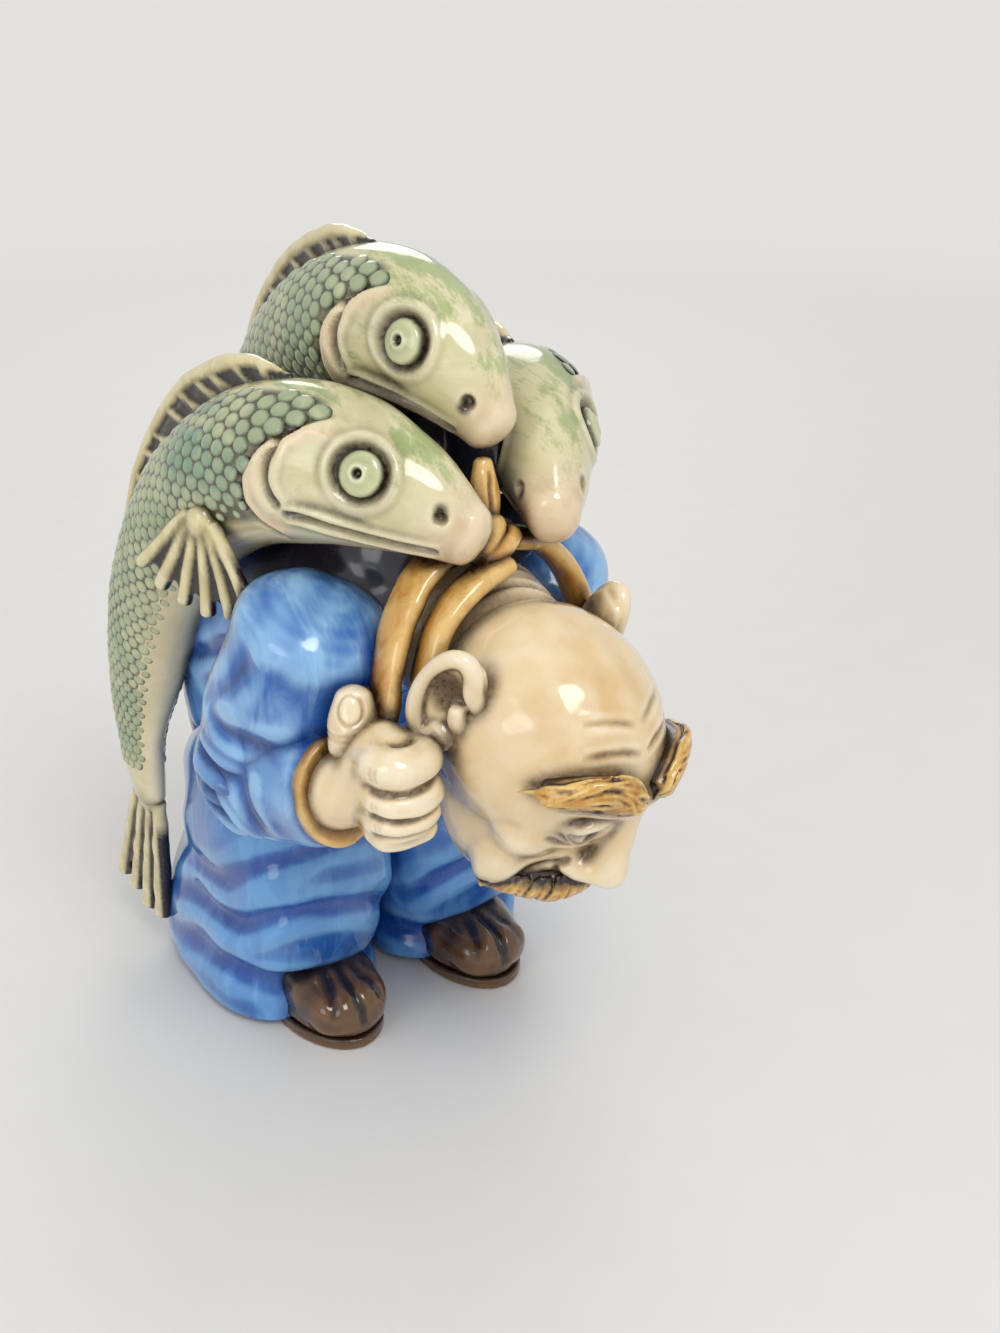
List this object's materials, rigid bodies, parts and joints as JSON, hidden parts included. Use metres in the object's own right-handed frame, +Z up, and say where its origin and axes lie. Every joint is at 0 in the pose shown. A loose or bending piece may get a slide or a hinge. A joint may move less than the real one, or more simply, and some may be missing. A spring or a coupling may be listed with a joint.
{
  "type": "fisherman figurine",
  "caption": "Glazed clay figurine of a stooping, moustached fisherman in a blue smock who carries big fish on his back by knotted straps.",
  "frame": {"origin": "on the floor, under the middle of the whole figure's bounding box", "axes": "+Z up, -Y the way the man faces, +X towards his left hand"},
  "size_m": [0.1094, 0.169, 0.1923],
  "materials": {
    "blue_glaze": "glossy cobalt-blue glaze with brush streaks and a dark wash in the folds",
    "skin_glaze": "glossy cream glaze with a brown wash in the creases",
    "hair_glaze": "glossy golden-brown glaze over combed clay",
    "ochre_glaze": "glossy ochre glaze with a brown wash",
    "brown_glaze": "glossy dark brown glaze",
    "eye_glaze": "glossy off-white glaze with a dark pupil",
    "fish_eye_glaze": "glossy grey-green glaze round a dark pupil",
    "fish_glaze": "glossy grey-green to cream glaze with a brown wash between the scales",
    "fin_glaze": "glossy olive glaze with a brown wash between the rays"
  },
  "bodies": {
    "root": {"boot_left": "brown_glaze", "boot_right": "brown_glaze", "cuff_band_left": "ochre_glaze", "cuff_band_right": "ochre_glaze", "ear_left": "skin_glaze", "ear_right": "skin_glaze", "eye_left": "eye_glaze", "eye_right": "eye_glaze", "eyebrow_left": "hair_glaze", "eyebrow_right": "hair_glaze", "fist_left": "skin_glaze", "fist_right": "skin_glaze", "head": "skin_glaze", "jacket": "blue_glaze", "knot": "ochre_glaze", "knot_tail": "ochre_glaze", "left_fish_body": "fish_glaze", "left_fish_dorsal_fin": "fin_glaze", "left_fish_eye_left": "fish_eye_glaze", "left_fish_eye_right": "fish_eye_glaze", "left_fish_pectoral_fin": "fin_glaze", "left_fish_tail_fin": "fin_glaze", "lower_sleeve_left": "blue_glaze", "lower_sleeve_right": "blue_glaze", "middle_fish_body": "fish_glaze", "middle_fish_dorsal_fin": "fin_glaze", "middle_fish_eye_left": "fish_eye_glaze", "middle_fish_eye_right": "fish_eye_glaze", "middle_fish_tail_fin": "fin_glaze", "moustache": "hair_glaze", "neck": "skin_glaze", "right_fish_body": "fish_glaze", "right_fish_dorsal_fin": "fin_glaze", "right_fish_eye_left": "fish_eye_glaze", "right_fish_eye_right": "fish_eye_glaze", "right_fish_pectoral_fin": "fin_glaze", "right_fish_tail_fin": "fin_glaze", "strap_left": "ochre_glaze", "strap_right_inner": "ochre_glaze", "strap_right_outer": "ochre_glaze", "thumb_left": "skin_glaze", "thumb_right": "skin_glaze", "trouser_leg_left": "blue_glaze", "trouser_leg_right": "blue_glaze", "trouser_seat": "blue_glaze", "upper_sleeve_left": "blue_glaze", "upper_sleeve_right": "blue_glaze", "welt_left": "brown_glaze", "welt_right": "brown_glaze"}
  },
  "joints": []
}
